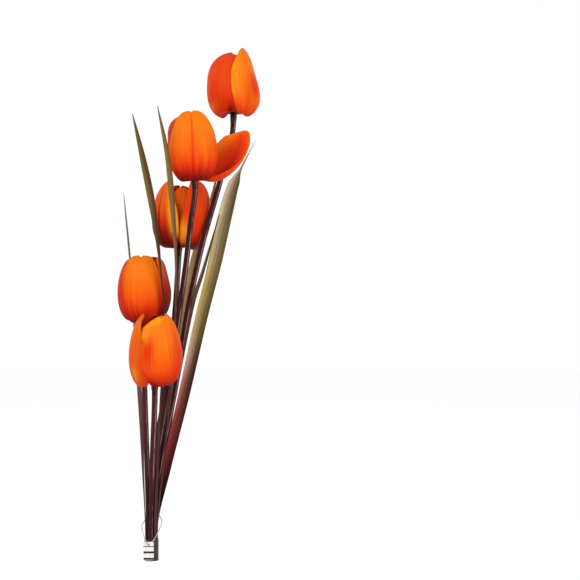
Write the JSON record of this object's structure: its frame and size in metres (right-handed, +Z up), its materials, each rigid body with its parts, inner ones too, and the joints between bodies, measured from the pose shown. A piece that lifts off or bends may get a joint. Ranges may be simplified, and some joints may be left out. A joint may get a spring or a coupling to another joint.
{
  "type": "artificial tulip spray",
  "caption": "Artificial tulip spray: closed blooms on wired stems among long narrow leaves, bound at the foot, each bloom turning and pulling off on its own pin.",
  "frame": {"origin": "centre of the bundle at the cut stem ends", "axes": "+Z up along the bundle, -Y is the front that the picture shows, +X the viewer's right"},
  "size_m": [0.1353, 0.1259, 0.485],
  "materials": {
    "outer_petals": "satin latex-coated, orange with red-orange base and golden edges",
    "inner_petals": "satin latex-coated, deep red-orange",
    "receptacles": "matt moulded",
    "cores": "matt moulded, dusty yellow anthers",
    "necks": "semi-gloss dark purple-brown",
    "stems": "semi-gloss dark purple-brown, streaked along its length",
    "leaves": "satin olive that turns burgundy towards the foot",
    "wires": "drawn",
    "binding_tape": "dark stretched tape, matt",
    "tag_card": "plain white card",
    "loop": "milky"
  },
  "bodies": {
    "root": {"neck_1": "necks", "stem_1": "stems", "neck_2": "necks", "stem_2": "stems", "neck_3": "necks", "stem_3": "stems", "neck_4": "necks", "stem_4": "stems", "neck_5": "necks", "stem_5": "stems", "leaf_1": "leaves", "leaf_2": "leaves", "leaf_3": "leaves", "leaf_4": "leaves", "leaf_5": "leaves", "leaf_6": "leaves", "stem_wires": "wires", "binding": "binding_tape", "tag": "tag_card", "tag_loop": "loop"},
    "core_1": {"bloom1_core": "cores"},
    "petals_1": {"bloom1_outer_petal_1": "outer_petals", "bloom1_inner_petal_1": "inner_petals", "bloom1_outer_petal_2": "outer_petals", "bloom1_inner_petal_2": "inner_petals", "bloom1_outer_petal_3": "outer_petals", "bloom1_inner_petal_3": "inner_petals", "bloom1_receptacle": "receptacles"},
    "core_2": {"bloom2_core": "cores"},
    "petals_2": {"bloom2_outer_petal_1": "outer_petals", "bloom2_inner_petal_1": "inner_petals", "bloom2_outer_petal_2": "outer_petals", "bloom2_inner_petal_2": "inner_petals", "bloom2_outer_petal_3": "outer_petals", "bloom2_inner_petal_3": "inner_petals", "bloom2_receptacle": "receptacles"},
    "core_3": {"bloom3_core": "cores"},
    "petals_3": {"bloom3_outer_petal_1": "outer_petals", "bloom3_inner_petal_1": "inner_petals", "bloom3_outer_petal_2": "outer_petals", "bloom3_inner_petal_2": "inner_petals", "bloom3_outer_petal_3": "outer_petals", "bloom3_inner_petal_3": "inner_petals", "bloom3_receptacle": "receptacles"},
    "core_4": {"bloom4_core": "cores"},
    "petals_4": {"bloom4_outer_petal_1": "outer_petals", "bloom4_inner_petal_1": "inner_petals", "bloom4_outer_petal_2": "outer_petals", "bloom4_inner_petal_2": "inner_petals", "bloom4_outer_petal_3": "outer_petals", "bloom4_inner_petal_3": "inner_petals", "bloom4_receptacle": "receptacles"},
    "core_5": {"bloom5_core": "cores"},
    "petals_5": {"bloom5_outer_petal_1": "outer_petals", "bloom5_inner_petal_1": "inner_petals", "bloom5_outer_petal_2": "outer_petals", "bloom5_inner_petal_2": "inner_petals", "bloom5_outer_petal_3": "outer_petals", "bloom5_inner_petal_3": "inner_petals", "bloom5_receptacle": "receptacles"}
  },
  "joints": [
    {"name": "bloom_1_pull", "type": "slide", "parent": "root", "child": "core_1", "axis": [0.0349, 0.0523, 0.998], "range_m": [0, 0.01]},
    {"name": "bloom_1_turn", "type": "hinge", "parent": "core_1", "child": "petals_1", "pos_m": [0.07464, 0.038, 0.41616], "axis": [0.0349, 0.0523, 0.998], "continuous": true},
    {"name": "bloom_2_pull", "type": "slide", "parent": "root", "child": "core_2", "axis": [-0.0436, -0.0349, 0.9984], "range_m": [0, 0.01]},
    {"name": "bloom_2_turn", "type": "hinge", "parent": "core_2", "child": "petals_2", "pos_m": [0.0408, -0.012, 0.35184], "axis": [-0.0436, -0.0349, 0.9984], "range_deg": [-40, 0]},
    {"name": "bloom_3_pull", "type": "slide", "parent": "root", "child": "core_3", "axis": [0.0698, 0, 0.9976], "range_m": [0, 0.01]},
    {"name": "bloom_3_turn", "type": "hinge", "parent": "core_3", "child": "petals_3", "pos_m": [0.0228, 0.038, 0.29232], "axis": [0.0698, 0, 0.9976], "continuous": true},
    {"name": "bloom_4_pull", "type": "slide", "parent": "root", "child": "core_4", "axis": [0.0175, 0, 0.9998], "range_m": [0, 0.01]},
    {"name": "bloom_4_turn", "type": "hinge", "parent": "core_4", "child": "petals_4", "pos_m": [-0.00984, 0.022, 0.22128], "axis": [0.0175, 0, 0.9998], "continuous": true},
    {"name": "bloom_5_pull", "type": "slide", "parent": "root", "child": "core_5", "axis": [0.0173, -0.1219, 0.9924], "range_m": [0, 0.01]},
    {"name": "bloom_5_turn", "type": "hinge", "parent": "core_5", "child": "petals_5", "pos_m": [0.006, -0.03, 0.16416], "axis": [0.0173, -0.1219, 0.9924], "continuous": true}
  ]
}
